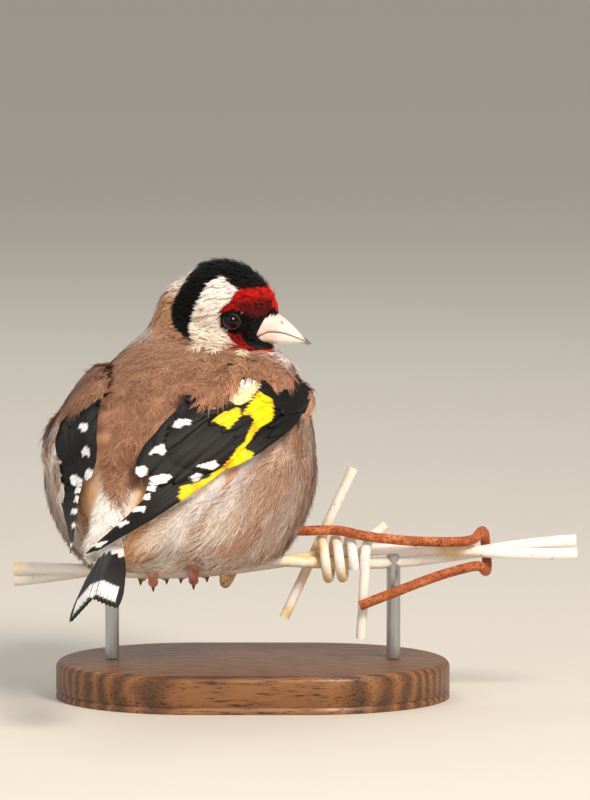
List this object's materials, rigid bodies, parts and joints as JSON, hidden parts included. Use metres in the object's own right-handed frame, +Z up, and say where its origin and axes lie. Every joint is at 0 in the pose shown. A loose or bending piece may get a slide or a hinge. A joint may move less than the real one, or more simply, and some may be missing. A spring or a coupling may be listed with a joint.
{
  "type": "european goldfinch model on a barbed wire perch",
  "caption": "Life-size still model of a european goldfinch, fluffed up and looking over its shoulder, perched on a length of barbed wire held by a plain stand",
  "frame": {"origin": "middle of the underside of the stand's base, on the surface that it rests on", "axes": "+Z up; the bird faces -Y with its right side towards -X, its head is turned to its right, and the wire runs 20 degrees off the X axis"},
  "size_m": [0.114, 0.114, 0.0932],
  "materials": {
    "head": "soft matt plumage",
    "bill_upper": "ivory horn, semi gloss, grey tip",
    "bill_lower": "ivory horn, semi gloss, grey tip",
    "eye_left": "dark glass eye, glossy",
    "eye_right": "dark glass eye, glossy",
    "neck": "soft matt plumage",
    "torso": "soft matt plumage",
    "rump": "soft matt plumage",
    "tail": "black feather vanes with yellow and white marks, satin",
    "wing_right": "black feather vanes with yellow and white marks, satin",
    "wing_left": "black feather vanes with yellow and white marks, satin",
    "thigh_right": "soft matt plumage",
    "tarsus_right": "pink scaled skin, matt",
    "foot_right": "pink scaled skin, matt",
    "claw_right_inner": "dark brown horn",
    "claw_right_middle": "dark brown horn",
    "claw_right_outer": "dark brown horn",
    "claw_right_hind": "dark brown horn",
    "thigh_left": "soft matt plumage",
    "tarsus_left": "pink scaled skin, matt",
    "foot_left": "pink scaled skin, matt",
    "claw_left_inner": "dark brown horn",
    "claw_left_middle": "dark brown horn",
    "claw_left_outer": "dark brown horn",
    "claw_left_hind": "dark brown horn",
    "perch_strand_a": "weathered cream white paint on steel wire",
    "perch_strand_b": "weathered cream white paint on steel wire",
    "perch_barb_straight": "weathered cream white paint on steel wire",
    "perch_barb_coil": "weathered cream white paint on steel wire",
    "perch_barb_bent": "weathered cream white paint on steel wire",
    "perch_rusty_wire": "rusted iron wire, matt and pitted",
    "stand_base": "oiled hardwood, satin",
    "stand_rod_left": "brushed steel rod",
    "stand_rod_right": "brushed steel rod"
  },
  "bodies": {
    "root": {"head": "head", "bill_upper": "bill_upper", "bill_lower": "bill_lower", "eye_left": "eye_left", "eye_right": "eye_right", "neck": "neck", "torso": "torso", "rump": "rump", "tail": "tail", "wing_right": "wing_right", "wing_left": "wing_left", "thigh_right": "thigh_right", "tarsus_right": "tarsus_right", "foot_right": "foot_right", "claw_right_inner": "claw_right_inner", "claw_right_middle": "claw_right_middle", "claw_right_outer": "claw_right_outer", "claw_right_hind": "claw_right_hind", "thigh_left": "thigh_left", "tarsus_left": "tarsus_left", "foot_left": "foot_left", "claw_left_inner": "claw_left_inner", "claw_left_middle": "claw_left_middle", "claw_left_outer": "claw_left_outer", "claw_left_hind": "claw_left_hind", "perch_strand_a": "perch_strand_a", "perch_strand_b": "perch_strand_b", "perch_barb_straight": "perch_barb_straight", "perch_barb_coil": "perch_barb_coil", "perch_barb_bent": "perch_barb_bent", "perch_rusty_wire": "perch_rusty_wire", "stand_base": "stand_base", "stand_rod_left": "stand_rod_left", "stand_rod_right": "stand_rod_right"}
  },
  "joints": []
}
